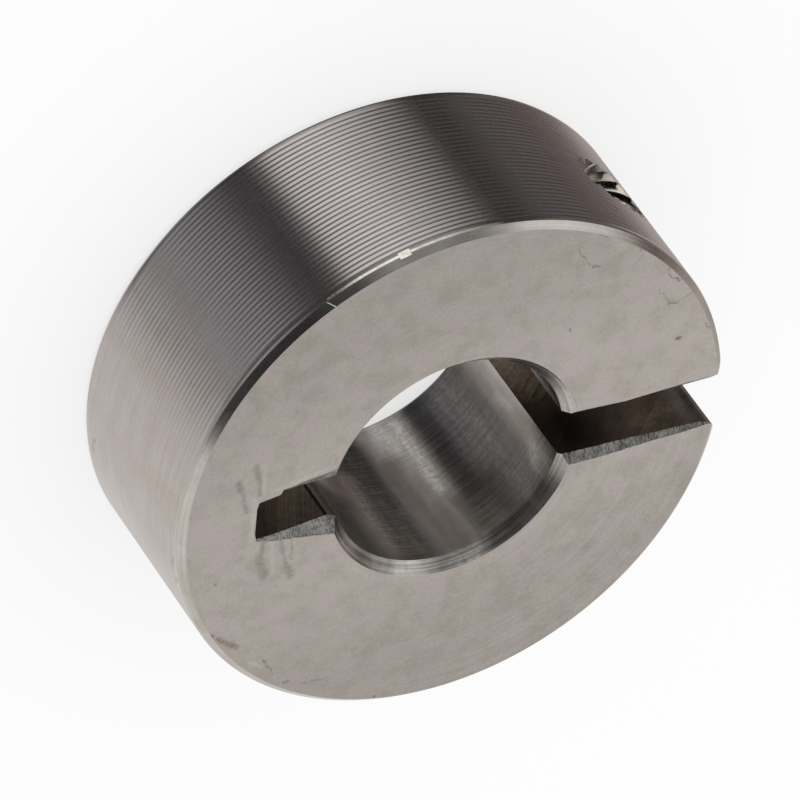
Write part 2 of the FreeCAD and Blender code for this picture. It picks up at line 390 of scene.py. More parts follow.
# a flat nick where something struck the rim, through the chamfer into the wall
def nickCutter(spec):
    nick = spec["nick"]
    bm = bmesh.new()
    bmesh.ops.create_cube(bm, size=nick["reach"])
    bmesh.ops.translate(bm, vec=(nick["reach"] / 2, 0, 0), verts=bm.verts)
    shares = (1, nick["wide"] / nick["reach"], nick["tall"] / nick["reach"])
    bmesh.ops.scale(bm, vec=shares, verts=bm.verts)
    place = Matrix.Rotation(math.radians(nick["azimuth"]), 4, "Z")
    place @= Matrix.Translation((made["outer"], 0, nick["foot"]))
    place @= Matrix.Rotation(math.radians(-nick["tilt"]), 4, "Y")
    bmesh.ops.transform(bm, matrix=place, verts=bm.verts)
    return bm


# the counterbore and the clearance hole, turned about the screw axis from the slit outwards
def headCutter(spec):
    slit = made["seat"].y
    beyond = 3 * mm
    end = made["outer"] + beyond
    outline = [(0, 0), (spec["shankHole"], 0), (spec["shankHole"], -slit), (spec["counterbore"], -slit),
               (spec["counterbore"], end), (0, end)]
    bm = turnOutline(outline, spec["holeSteps"], False)
    place = Matrix.Translation((made["seat"].x, 0, made["seat"].z)) @ Matrix.Rotation(math.pi / 2, 4, "X")
    bmesh.ops.transform(bm, matrix=place, verts=bm.verts)
    return bm


# the tapped hole, from the open slit outwards
def tapCutter(spec):
    seat = made["seat"].y
    bm = threadRod(spec["tappedMajor"], spec["tappedMinor"], -seat - spec["tapStart"], made["outer"] - seat,
                   threadSpec["tapWider"])
    ontoScrewAxis(bm)
    return bm


# which finish a strip of the turned ring has, by its place and its slope
def stripFinish(face, spec):
    radius = math.hypot(face.center.x, face.center.y)
    azimuth = math.degrees(math.atan2(face.center.y, face.center.x))
    toEnd = min(face.center.z, made["width"] - face.center.z)
    rim = spec["rimChamfer"] + spec["rimGlint"] / 2
    atRim = abs(toEnd - rim) < spec["rimGlint"] and face.center.z > made["width"] / 2
    slope = abs(face.normal.z)
    if slope > 0.99:    # level
        return "face"
    if radius < made["bore"] + made["boreChamfer"]:
        return "bore"
    if slope > 0.5:     # at 45 degrees
        return "chamfer"
    # a painted glint on the rubbed edge: its bright finish only between these azimuths
    if atRim and spec["rubbedAndGlintAzimuths"][0] < azimuth < spec["rubbedAndGlintAzimuths"][1]:
        return "rubbedEdgeAndGlint"
    return "wall"


def buildCollar(spec, finish):
    strips = ["wall", "face", "bore", "chamfer", "rubbedEdgeAndGlint"]
    ring = newPiece("collar_shell", turnOutline(ringOutline(spec), spec["steps"], True),
                    [finish[name] for name in strips])
    for face in ring.data.polygons:
        face.material_index = strips.index(stripFinish(face, spec))
    cutWith(ring, newPiece("saw", sawCutter(spec), [finish["saw"], finish["wall"]]))
    print("collar: saw cut made")

    cutWith(ring, newPiece("headHoles", headCutter(spec), [finish["drilledWall"]]))
    cutWith(ring, newPiece("tap", tapCutter(spec), [finish["tappedThread"]]))
    print("collar: holes cut")

    for number, loops in enumerate(edgeBars(edgeSpec)):
        cutWith(ring, newPiece(f"bar{number}", loftLoops(loops), [finish["filed"]]))
    # the nick's facet takes the rubbed edge's bright finish, which is partly a painted glint
    cutWith(ring, newPiece("nick", nickCutter(spec), [finish["rubbedEdgeAndGlint"]]))
    print("collar: edges broken")
    shadeByAngle(ring, spec["sharpAngle"])
    print("collar: shaded,", len(ring.data.polygons), "faces")
    return ring


# clamp screw
screwSpec = {
    "headRadius": 2.75 * mm,
    "headRounding": 0.3 * mm,
    "roundingSteps": 6,
    "headFoot": [(0, -0.35), (0.12, -0.12), (0.2, 0)],    # in mm: (in from the head's side, height)
    "neckFillet": [(0.35, 0), (0, 0.12), (0, 0.6)],       # in mm: (out from the root, height)
    "knurls": 60,
    "knurlDepth": 0.06 * mm,
    "knurlEnd": 0.3 * mm,
    "shankRadius": 1.48 * mm,
    "rootRadius": 1.20 * mm,
    "threadStart": 0.3 * mm,
    "neck": 0.9 * mm,             # short unthreaded length under the head
    "tipChamfer": 0.4 * mm,
    "socketAcross": 2.5 * mm,
    "socketDepth": 1.5 * mm,
    "socketLead": 0.22 * mm,
    "drillPoint": 0.6,            # depth of the drill's point by its radius
    "drillSteps": 48,
    "mouthSteps": 72,
    "sharpAngle": math.radians(24),
}


def headOutline(spec):
    radius = spec["headRadius"]
    height = made["headHeight"]
    rounding = spec["headRounding"]
    outline = [(0, -height)]
    for step in range(spec["roundingSteps"] + 1):
        angle = step / spec["roundingSteps"] * math.pi / 2
        outline.append((radius - rounding + rounding * math.sin(angle),
                        -height + rounding - rounding * math.cos(angle)))
    outline += [(radius - inset * mm, level * mm) for inset, level in spec["headFoot"]]
    outline += [(spec["rootRadius"] + out * mm, level * mm) for out, level in spec["neckFillet"]]
    outline.append((0, outline[-1][1]))
    return outline


# every other line of points down the side of the head is drawn in
def knurl(bm, spec):
    low = -made["headHeight"] + spec["headRounding"] - weld["point"]
    for vert in bm.verts:
        radius = math.hypot(vert.co.x, vert.co.y)
        onSide = radius > spec["headRadius"] - weld["point"] and low < vert.co.z < -spec["knurlEnd"]
        turn = round(math.atan2(vert.co.y, vert.co.x) / fullTurn * spec["knurls"] * 2)
        if onSide and turn % 2:
            drawIn(vert, (radius - spec["knurlDepth"]) / radius)


def hexagonCutter(spec):
    over = 1 * mm
    bm = bmesh.new()
    disc = bmesh.ops.create_circle(bm, cap_ends=True, segments=6, radius=spec["socketAcross"] / math.sqrt(3))
    bmesh.ops.translate(bm, vec=(0, 0, -made["headHeight"] - over), verts=disc["verts"])
    raised = bmesh.ops.extrude_face_region(bm, geom=list(bm.faces))
    top = [item for item in raised["geom"] if isinstance(item, bmesh.types.BMVert)]
    bmesh.ops.translate(bm, vec=(0, 0, spec["socketDepth"] + over), verts=top)
    bmesh.ops.recalc_face_normals(bm, faces=bm.faces)
    return bm


# the drill's point below the hexagon
def drillCutter(spec):
    drill = spec["socketAcross"] / 2
    floor = -made["headHeight"] + spec["socketDepth"]
    inside = 0.3 * mm             # starts within the hexagon
    start = floor - inside
    outline = [(0, start), (drill, start), (drill, floor), (0, floor + drill * spec["drillPoint"])]
    return turnOutline(outline, spec["drillSteps"], False)


# the cone that leads a key into the socket
def mouthCutter(spec):
    drill = spec["socketAcross"] / 2
    mouth = -made["headHeight"]
    lead = spec["socketLead"]
    over = 0.1 * mm
    outline = [(0, mouth - over), (drill + lead + over, mouth - over), (drill, mouth + lead),
               (0, mouth + lead)]
    return turnOutline(outline, spec["mouthSteps"], False)


# the thread fades out towards the head and is chamfered at the tip
def shankRod(spec):
    length = made["shankLength"]
    neck = spec["neck"]
    root = spec["rootRadius"]
    bm = threadRod(spec["shankRadius"], root, spec["threadStart"], length)
    for vert in bm.verts:
        radius = math.hypot(vert.co.x, vert.co.y)
        if radius < weld["point"]:
            continue
        grow = max(0.0, min(1.0, (vert.co.z - neck / 2) / (neck / 2)))
        limit = root + (spec["shankRadius"] - root) * grow
        limit = min(limit, spec["shankRadius"] - max(0.0, vert.co.z - (length - spec["tipChamfer"])))
        drawIn(vert, min(1.0, limit / radius))
    return bm


def buildScrew(spec, finish):
    head = turnOutline(headOutline(spec), spec["knurls"] * 2, False)
    knurl(head, spec)
    ontoScrewAxis(head)
    screw = newPiece("cap_screw", head, [finish["screwSteel"], finish["socketSteel"]])
    for name, makeCutter in (("hexagon", hexagonCutter), ("drillPoint", drillCutter), ("mouth", mouthCutter)):
        cutter = makeCutter(spec)
        ontoScrewAxis(cutter)
        cutWith(screw, newPiece(name, cutter, [finish["socketSteel"]]))
    shank = shankRod(spec)
    ontoScrewAxis(shank)
    cutWith(screw, newPiece("shank", shank, [finish["screwSteel"]]), "UNION")
    shadeByAngle(screw, spec["sharpAngle"])
    print("screw made,", len(screw.data.polygons), "faces")
    return screw


# shader helpers
def addNode(tree, kind, inputs=None, **settings):
    node = tree.nodes.new("ShaderNode" + kind)
    for name, value in settings.items():
        setattr(node, name, value)
    for key, value in (inputs or {}).items():
        if isinstance(value, bpy.types.NodeSocket):
            tree.links.new(value, node.inputs[key])
        else:
            node.inputs[key].default_value = value
    return node


def calc(tree, operation, first, second=0.0):
    return addNode(tree, "Math", {0: first, 1: second}, operation=operation).outputs[0]


def times(tree, first, second):
    return calc(tree, "MULTIPLY", first, second)


def plus(tree, first, second):
    return calc(tree, "ADD", first, second)


# how far a value between 0 and 1 swings the tone to either side
def swing(tree, value, share):
    return times(tree, calc(tree, "SUBTRACT", value, 0.5), share)


def mapRange(tree, value, low, high, toLow=0.0, toHigh=1.0, kind="SMOOTHSTEP"):
    inputs = {"Value": value, "From Min": low, "From Max": high, "To Min": toLow, "To Max": toHigh}
    return addNode(tree, "MapRange", inputs, interpolation_type=kind).outputs[0]


def vectorMath(tree, operation, first, second=(0, 0, 0)):
    return addNode(tree, "VectorMath", {0: first, 1: second}, operation=operation).outputs


def parts(tree, vector):
    return addNode(tree, "SeparateXYZ", {0: vector}).outputs


def mixColour(tree, share, first, second):
    inputs = {"Factor": share}
    for socket, colour in ((6, first), (7, second)):    # the node's two colours
        inputs[socket] = colour if isinstance(colour, bpy.types.NodeSocket) else (*colour, 1)
    return addNode(tree, "Mix", inputs, data_type="RGBA").outputs[2]


def dim(tree, colour, amount):
    return addNode(tree, "VectorMath", {0: colour, "Scale": amount}, operation="SCALE").outputs[0]


def stretch(tree, place, perMm, shift=(0, 0, 0)):
    return addNode(tree, "Mapping", {"Vector": place, "Scale": perMm, "Location": shift}).outputs[0]


def grain(tree, place, scale, detail=2.0, roughness=0.5):
    inputs = {"Vector": place, "Scale": scale, "Detail": detail, "Roughness": roughness}
    return addNode(tree, "TexNoise", inputs).outputs["Fac"]


# joins several sockets to the inputs of a shader or of a group's output
def feed(tree, inputs, sockets):
    for label, socket in sockets.items():
        tree.links.new(socket, inputs[label])


def newGroup(name, inputs, outputs):
    group = bpy.data.node_groups.new(name, "ShaderNodeTree")
    for way, sockets in (("INPUT", inputs), ("OUTPUT", outputs)):
        for label, kind in sockets.items():
            group.interface.new_socket(label, in_out=way, socket_type="NodeSocket" + kind)
    source = group.nodes.new("NodeGroupInput").outputs
    target = group.nodes.new("NodeGroupOutput").inputs
    return group, source, target


def useGroup(tree, group, inputs):
    return addNode(tree, "Group", inputs, node_tree=group).outputs


# uneven tone of bare machined steel: large cloudy patches, a pinkish blush and fine grain, each 0 to 1
def steelToneGroup():
    group, source, target = newGroup("steelTone", {"Place": "Vector", "Patch": "Float"},
                                     {"Cloud": "Float", "Blush": "Float", "Grain": "Float"})
    scaled = dim(group, source["Place"], calc(group, "DIVIDE", 1.0, source["Patch"]))
    elsewhere = stretch(group, scaled, (1, 1, 1), shift=(17, 5, 9))    # so that blush and cloud differ
    cloud = grain(group, scaled, scale=1.0, detail=4.0, roughness=0.6)
    blush = grain(group, elsewhere, scale=0.7, detail=3.0, roughness=0.55)
    fine = grain(group, source["Place"], scale=7.0, detail=3.0, roughness=0.7)
    feed(group, target, {
        "Cloud": mapRange(group, cloud, low=0.34, high=0.66),
        "Blush": mapRange(group, blush, low=0.40, high=0.66),
        "Grain": mapRange(group, fine, low=0.25, high=0.75),
    })
    return group


# fine marks that a tool leaves: Across runs over them in mm, Place along them
def toolLinesGroup():
    group, source, target = newGroup("toolLines", {"Place": "Vector", "Across": "Float", "Pitch": "Float"},
                                     {"Line": "Float"})
    across = calc(group, "DIVIDE", source["Across"], source["Pitch"])
    along = parts(group, source["Place"])
    place = addNode(group, "CombineXYZ", {0: along["X"], 1: along["Y"], 2: across}).outputs[0]
    line = grain(group, place, scale=1.0, detail=2.0, roughness=0.6)
    feed(group, target, {"Line": mapRange(group, line, low=0.3, high=0.7)})
    return group


# a scratch or smudge: 1 along the line from Start to End and a tenth of Width to its sides, fading
# out at Width
def strokeGroup():
    inputs = {"Place": "Vector", "Start": "Vector", "End": "Vector", "Width": "Float", "Strength": "Float"}
    group, source, target = newGroup("stroke", inputs, {"Mask": "Float"})
    axis = vectorMath(group, "SUBTRACT", source["End"], source["Start"])[0]
    offset = vectorMath(group, "SUBTRACT", source["Place"], source["Start"])[0]
    length = calc(group, "MAXIMUM", vectorMath(group, "DOT_PRODUCT", axis, axis)["Value"], 0.0001)
    share = calc(group, "DIVIDE", vectorMath(group, "DOT_PRODUCT", offset, axis)["Value"], length)
    share = mapRange(group, share, 0, 1, kind="LINEAR")
    beside = vectorMath(group, "SUBTRACT", offset, dim(group, axis, share))[0]
    gap = vectorMath(group, "LENGTH", beside)["Value"]
    core = times(group, source["Width"], 0.1)
    mask = mapRange(group, gap, source["Width"], core)
    feed(group, target, {"Mask": times(group, mask, source["Strength"])})
    return group


groups = {
    "tone": steelToneGroup(),
    "lines": toolLinesGroup(),
    "stroke": strokeGroup(),
}


def steelTone(tree, place, patch):
    return useGroup(tree, groups["tone"], {"Place": place, "Patch": patch})


# steel with clouds of another tone in it: the tone's values and the colour
def cloudySteel(tree, place, spec):
    tone = steelTone(tree, place, spec["patch"])
    share = times(tree, tone["Cloud"], spec["cloudShare"])
    return tone, mixColour(tree, share, spec["steel"], spec["clouds"])


def toolLines(tree, place, across, pitch):
    return useGroup(tree, groups["lines"], {"Place": place, "Across": across, "Pitch": pitch})["Line"]


def strokes(tree, place, marks):
    mask = None
    for start, end, width, strength in marks:
        inputs = {"Place": place, "Start": start, "End": end, "Width": width, "Strength": strength}
        one = useGroup(tree, groups["stroke"], inputs)["Mask"]
        mask = one if mask is None else calc(tree, "MAXIMUM", mask, one)
    return mask


# strokes with broken outlines, which wander by up to half of ragged in mm
def raggedStrokes(tree, place, marks, ragged):
    wobble = addNode(tree, "TexNoise", {"Vector": place, "Scale": 3.5, "Detail": 4.0}).outputs["Color"]
    wobble = vectorMath(tree, "SUBTRACT", wobble, (0.5, 0.5, 0.5))[0]
    moved = vectorMath(tree, "ADD", place, dim(tree, wobble, ragged))[0]
    broken = grain(tree, place, scale=6.0, detail=4.0, roughness=0.7)
    broken = mapRange(tree, broken, low=0.35, high=0.60, toLow=0.45, toHigh=1.0)
    return times(tree, strokes(tree, moved, marks), broken)


# a metal with its shader and its place on the piece in mm
def newMetal(name, constants=None):
    material = bpy.data.materials.new(name)
    material.use_nodes = True
    tree = material.node_tree
    shader = tree.nodes["Principled BSDF"]
    shader.inputs["Metallic"].default_value = 1.0
    for label, value in (constants or {}).items():
        shader.inputs[label].default_value = value
    coords = addNode(tree, "TexCoord").outputs["Object"]
    place = stretch(tree, coords, (1 / mm, 1 / mm, 1 / mm))
    return material, tree, shader, place


def bumpFrom(tree, shader, height, deep):
    bump = addNode(tree, "Bump", {"Height": height, "Distance": deep * mm, "Strength": 1.0})
    tree.links.new(bump.outputs[0], shader.inputs["Normal"])


def onFace(x, y):
    return (x, y, made["width"] / mm)


def onRound(radius, azimuth, height):
    azimuth = math.radians(azimuth)
    return (math.cos(azimuth) * radius / mm, math.sin(azimuth) * radius / mm, height)


def onWall(azimuth, height):
    return onRound(made["outer"], azimuth, height)


def onBore(azimuth, height):
    return onRound(made["bore"], azimuth, height)


# on the side of the saw cut that the camera sees
def onSawn(x, height):
    return (x, -collarSpec["sawHalf"] / mm, height)


# turns rows of (place, place, half width in mm, strength) into strokes, a place being two numbers
def marksOn(surface, rows):
    return [(surface(*row[:2]), surface(*row[2:4]), *row[4:]) for row in rows]


# marks on the upper end face: from (x, y) to (x, y), half width, strength
faceMarks = {
    "dark": marksOn(onFace, [
        (-8.9, 2.7, -8.72, 2.1, 0.24, 0.42),
        (-8.7, 2.1, -8.6, 1.2, 0.16, 0.30),
        (-9.6, 2.1, -9.45, 1.75, 0.26, 0.45),
        (-9.45, 1.75, -9.15, 0.5, 0.16, 0.38),
        (-8.25, -1.3, -8.35, -2.1, 0.20, 0.42),
        (-8.4, -2.1, -8.1, -3.2, 0.30, 0.36),
        (-7.5, -1.5, -7.1, -3.0, 0.18, 0.36),
        (-7.1, -3.0, -6.95, -3.5, 0.30, 0.40),
        (-7.0, -1.6, -6.95, -2.6, 0.12, 0.32),
        (-10.25, -2.9, -10.2, -2.9, 0.10, 0.60),
        (4.55, 5.8, 4.6, 5.7, 0.09, 0.63),
        (-2.6, -11.3, -2.55, -11.3, 0.09, 0.72),
        (10.75, 4.25, 11.0, 3.9, 0.06, 0.63),
        (4.62, 9.9, 4.72, 9.5, 0.05, 0.50),
        (4.72, 9.5, 5.16, 8.9, 0.06, 0.55),
        (5.35, 8.75, 5.65, 8.65, 0.12, 0.60),
        (5.45, 10.35, 5.85, 10.1, 0.08, 0.50),
        (7.3, 9.1, 7.45, 8.95, 0.07, 0.50),
        (8.78, 7.65, 8.85, 7.2, 0.08, 0.55),
        (8.85, 7.2, 9.1, 7.0, 0.06, 0.60),
        (9.15, 7.05, 9.3, 6.8, 0.07, 0.75),
        (9.3, 6.8, 9.42, 6.95, 0.05, 0.70),
        (8.45, 6.85, 8.5, 6.4, 0.05, 0.45),
        (8.65, 6.4, 9.0, 5.8, 0.06, 0.50),
        (9.0, 5.75, 9.3, 5.68, 0.10, 0.60),
        (9.3, 5.7, 10.0, 6.05, 0.06, 0.48),
        (-7.8, -7.7, -7.3, -8.6, 0.07, 0.72),
        (-6.8, -9.2, -6.6, -9.2, 0.14, 0.54),
        (-6.0, -9.5, -5.0, -9.6, 0.06, 0.54),
        (-6.5, -9.85, -6.4, -9.9, 0.12, 0.81),
    ]),
    "brown": marksOn(onFace, [
        (9.6, 3.8, 9.62, 3.8, 0.2, 0.9),
        (-10.2, -5.6, -10.1, -5.7, 0.12, 0.7),
        (-9.9, -5.9, -9.1, -6.6, 0.22, 0.55),
    ]),
    "scuffed": marksOn(onFace, [
        (-8.5, 2.7, -8.4, 1.2, 0.16, 0.20),
        (-8.8, 1.0, -8.85, -1.1, 0.18, 0.28),
        (-7.9, -1.5, -7.7, -3.1, 0.2, 0.22),
        (-7.9, 1.25, -5.4, 1.75, 0.14, 0.22),
        (6.1, 9.8, 6.6, 9.4, 0.25, 0.14),
        (-8.4, -7.6, -7.9, -8.0, 0.12, 0.28),
        (4.9, 5.4, 5.4, 4.4, 0.9, 0.10),
        (9.9, 3.6, 10.1, 3.6, 0.5, 0.11),
    ]),
}

# end faces: turned, then tumbled to a soft cloudy satin
faceLook = {
    "patch": 0.95,
    "beige": (0.420, 0.386, 0.346),
    "dark": (0.360, 0.328, 0.298),
    "pink": (0.426, 0.378, 0.368),
    "pinkShare": 0.75,
    "mark": (0.09, 0.08, 0.07),
    "brown": (0.12, 0.08, 0.045),
    "scuff": (0.62, 0.58, 0.54),
    "scuffDulls": 0.5,
    "ragged": 0.28,
    "roughness": (0.43, 0.47),
    "ringPitch": 0.16,
    "ringsLowerRight": (4.0, 14.0, 0.1, 0.5),    # from and to in mm, and how much the rings show there
    "ringsByBore": (6.2, 5.3, 0.0, 0.4),
    "ringTone": 0.2,
    "grainTone": 0.14,
    "paintedBandSlope": 0.25,                         # of the line across the face where a band of painted light makes it palest
    "paintedBandTone": (2.0, 10.0, 0.10, -0.05),      # from and to in mm beside that line, and the tone of the painted light there
    # painted light: the face grows lighter towards +X
    "paintedLightAlongX": 0.003,
    "bump": 0.002,
}


def faceMetal(spec):
    material, tree, shader, place = newMetal("satinFace")
    tone = steelTone(tree, place, spec["patch"])
    colour = mixColour(tree, tone["Cloud"], spec["dark"], spec["beige"])
    colour = mixColour(tree, times(tree, tone["Blush"], spec["pinkShare"]), colour, spec["pink"])

    split = parts(tree, place)
    flat = stretch(tree, place, (1, 1, 0))
    radius = vectorMath(tree, "LENGTH", flat)["Value"]
    around = vectorMath(tree, "NORMALIZE", flat)[0]
    rings = toolLines(tree, around, radius, spec["ringPitch"])
    lowerRight = calc(tree, "SUBTRACT", split["X"], split["Y"])
    ringShare = plus(tree, mapRange(tree, lowerRight, *spec["ringsLowerRight"]),
                     mapRange(tree, radius, *spec["ringsByBore"]))
    ringTone = swing(tree, rings, ringShare)

    # painted light and shade in the base colour: a pale band across the face and a slow gradient along X
    side = calc(tree, "SUBTRACT", split["Y"], times(tree, split["X"], spec["paintedBandSlope"]))
    middle = mapRange(tree, calc(tree, "ABSOLUTE", side), *spec["paintedBandTone"])
    level = plus(tree, middle, times(tree, split["X"], spec["paintedLightAlongX"]))
    level = plus(tree, level, swing(tree, tone["Grain"], spec["grainTone"]))
    level = plus(tree, level, times(tree, ringTone, spec["ringTone"]))
    colour = dim(tree, colour, plus(tree, level, 1.0))

    dark = raggedStrokes(tree, place, faceMarks["dark"], spec["ragged"])
    brown = raggedStrokes(tree, place, faceMarks["brown"], spec["ragged"])
    scuffed = raggedStrokes(tree, place, faceMarks["scuffed"], spec["ragged"])
    colour = mixColour(tree, scuffed, colour, spec["scuff"])
    colour = mixColour(tree, brown, colour, spec["brown"])
    colour = mixColour(tree, dark, colour, spec["mark"])
    feed(tree, shader.inputs, {
        "Base Color": colour,
        "Roughness": mapRange(tree, tone["Cloud"], 0, 1, *spec["roughness"]),
        "Metallic": calc(tree, "SUBTRACT", 1.0, times(tree, scuffed, spec["scuffDulls"])),
    })
    bumpFrom(tree, shader, plus(tree, tone["Grain"], ringTone), spec["bump"])
    return material


# outer wall: fine turning grooves in the mesh, with streaks across them in the tone
wallLook = {
    "gloss": {"Anisotropic": 0.7, "Anisotropic Rotation": 0.25},
    "patch": 1.5,
    "patchShape": (1, 1, 0.45),             # the patches are longer along the ring's axis
    "steel": (0.47, 0.45, 0.44),
    "brown": (0.45, 0.410, 0.370),
    "pink": (0.47, 0.430, 0.425),
    "pinkShare": 0.7,
    "stainedX": (-8.0, -11.0, 0.25, 1.0),   # more stained on the side away from the tapped hole
    "stainedY": (0.0, -4.0, 1.0, 0.4),
    "mark": (0.06, 0.05, 0.05),
    "roughness": (0.22, 0.25),
    "linePitch": 0.07,
    "lineChange": 0.25,                     # per mm, along the lines
    "lineTone": 0.12,
    "streak": (5, 5, 0.3),                  # streaks to the mm, so long ones across the grooves
    "streakTone": 0.10,
    "ragged": 0.2,
    # from (azimuth, height) to (azimuth, height), half width, strength
    "marks": marksOn(onWall, [
        (53.5, 4.4, 51.0, 4.0, 0.1, 0.8),
        (52.5, 3.8, 50.5, 3.3, 0.08, 0.8),
        (50.0, 3.5, 47.0, 3.1, 0.07, 0.7),
        (194.0, 8.3, 192.0, 8.55, 0.2, 0.3),
        (190.0, 8.2, 188.0, 8.3, 0.2, 0.25),
        (190.0, 0.8, 186.0, 1.0, 0.18, 0.3),
    ]),
}


def wallMetal(spec):
    material, tree, shader, place = newMetal("turnedWall", spec["gloss"])
    split = parts(tree, place)
    tone = steelTone(tree, stretch(tree, place, spec["patchShape"]), spec["patch"])
    stained = times(tree, mapRange(tree, split["X"], *spec["stainedX"]),
                    mapRange(tree, split["Y"], *spec["stainedY"]))
    brown = times(tree, tone["Cloud"], stained)
    pink = times(tree, tone["Blush"], times(tree, stained, spec["pinkShare"]))
    colour = mixColour(tree, brown, spec["steel"], spec["brown"])
    colour = mixColour(tree, pink, colour, spec["pink"])
    lines = toolLines(tree, dim(tree, place, spec["lineChange"]), split["Z"], spec["linePitch"])
    streak = grain(tree, stretch(tree, place, spec["streak"]), scale=1.0, detail=3.0, roughness=0.6)
    level = plus(tree, swing(tree, lines, spec["lineTone"]), swing(tree, streak, spec["streakTone"]))
    colour = dim(tree, colour, plus(tree, level, 1.0))
    marks = raggedStrokes(tree, place, spec["marks"], spec["ragged"])
    feed(tree, shader.inputs, {
        "Base Color": mixColour(tree, marks, colour, spec["mark"]),
        "Roughness": mapRange(tree, streak, 0.3, 0.7, *spec["roughness"]),
    })
    return material


# bore and its chamfers: fine rings left by the boring tool; dark patches that are partly oil stains and
# partly painted shade; bright patches that are partly rubbed by a shaft and partly painted reflection
boreLook = {
    "gloss": {"Anisotropic": 0.6, "Anisotropic Rotation": 0.25},
    "patch": 1.1,
    "steel": (0.41, 0.395, 0.38),
    "clouds": (0.34, 0.31, 0.275),
    "cloudShare": 0.6,
    # dark colour of the stains and of the painted shade
    "stainAndShade": (0.13, 0.11, 0.09),
    # bright colour of the rubs and of the painted reflection
    "worn": (0.80, 0.77, 0.71),
    "roughness": (0.20, 0.26),
    "linePitch": 0.08,
    "lineChange": 0.15,
    "lineTone": (8.45, 8.6, 0.15, 0.6),     # the upper chamfer shows its rings more than the bore
    "streak": (3, 3, 0.4),
    "streakTone": 0.7,
    "ragged": 0.48,
    "bump": 0.002,
    # both from (azimuth, height) to (azimuth, height), half width, strength
    # stains, partly painted shade in dark bands down the bore
    "stainsAndShade": marksOn(onBore, [
        (277, 5.6, 276, 3.0, 1.10, 0.68),
        (283, 5.4, 281, 4.0, 0.60, 0.50),
        (271, 5.0, 269, 1.6, 0.80, 0.45),
        (281, 8.1, 280, 6.0, 1.50, 0.62),
        (294, 7.9, 292, 6.2, 0.60, 0.45),
        (319, 6.6, 312, 5.6, 0.80, 0.10),
        (341, 6.4, 331, 1.2, 1.50, 0.45),
        (341, 9.0, 330, 9.0, 0.90, 0.55),
        (306, 9.0, 298, 9.0, 0.80, 0.55),
        (226, 9.0, 242, 9.0, 0.80, 0.45),
        (243, 8.4, 240, 5.0, 0.70, 0.50),
    ]),
    # rubs, partly painted reflection in bright bands down the bore
    "rubsAndReflections": marksOn(onBore, [
        (290, 5.2, 290, 0.9, 0.42, 0.60),
        (284, 2.2, 281, 0.8, 0.60, 0.35),
        (254, 7.8, 254, 3.4, 0.90, 1.00),
        (303, 8.8, 301, 7.0, 0.90, 0.35),
        (262, 8.0, 262, 2.0, 0.60, 0.75),
        (278, 9.0, 285, 9.0, 0.75, 0.90),
        (313, 5.4, 313, 0.9, 1.00, 0.60),
        (321, 8.0, 321, 0.9, 1.00, 0.65),
        (332, 7.8, 339, 6.8, 0.45, 0.40),
        (341, 4.8, 337, 3.8, 0.45, 0.30),
    ]),
}


def boreMetal(spec):
    material, tree, shader, place = newMetal("boredWall", spec["gloss"])
    split = parts(tree, place)
    tone, colour = cloudySteel(tree, place, spec)
    lines = toolLines(tree, dim(tree, place, spec["lineChange"]), split["Z"], spec["linePitch"])
    streak = grain(tree, stretch(tree, place, spec["streak"]), scale=1.0, detail=4.0, roughness=0.65)
    lineTone = mapRange(tree, split["Z"], *spec["lineTone"])
    level = plus(tree, swing(tree, lines, lineTone), swing(tree, streak, spec["streakTone"]))
    # painted reflection and painted shade in the base colour, together with real rubs and stains
    rubsAndReflections = raggedStrokes(tree, place, spec["rubsAndReflections"], spec["ragged"])
    colour = mixColour(tree, rubsAndReflections, colour, spec["worn"])
    colour = mixColour(tree, strokes(tree, place, spec["stainsAndShade"]), colour, spec["stainAndShade"])
    feed(tree, shader.inputs, {
        "Base Color": dim(tree, colour, plus(tree, level, 1.0)),
        "Roughness": mapRange(tree, lines, 0, 1, *spec["roughness"]),
    })
    bumpFrom(tree, shader, lines, spec["bump"])
    return material


# chamfers: cut last, so cleaner and glossier than the walls
chamferLook = {
    "patch": 1.2,
    "steel": (0.47, 0.45, 0.43),
    "clouds": (0.41, 0.375, 0.33),
    "cloudShare": 0.8,
    "scratch": (0.60, 0.58, 0.52),
    "roughness": (0.12, 0.19),
    "linePitch": 0.06,
    "lineChange": 0.15,
    "lineTone": (0.92, 1.08),
    "bump": 0.001,
    "scratches": [(onWall(121.9, 8.68), onFace(-6.0, 10.05), 0.035, 0.9)],
}


def chamferMetal(spec):
    material, tree, shader, place = newMetal("turnedChamfer")
    split = parts(tree, place)
    tone, colour = cloudySteel(tree, place, spec)
    lines = toolLines(tree, dim(tree, place, spec["lineChange"]), split["Z"], spec["linePitch"])
    colour = dim(tree, colour, mapRange(tree, lines, 0, 1, *spec["lineTone"], kind="LINEAR"))
    scratch = strokes(tree, place, spec["scratches"])
    feed(tree, shader.inputs, {
        "Base Color": mixColour(tree, scratch, colour, spec["scratch"]),
        "Metallic": calc(tree, "SUBTRACT", 1.0, scratch),
        "Roughness": mapRange(tree, tone["Grain"], 0, 1, *spec["roughness"]),
    })
    bumpFrom(tree, shader, lines, spec["bump"])
    return material


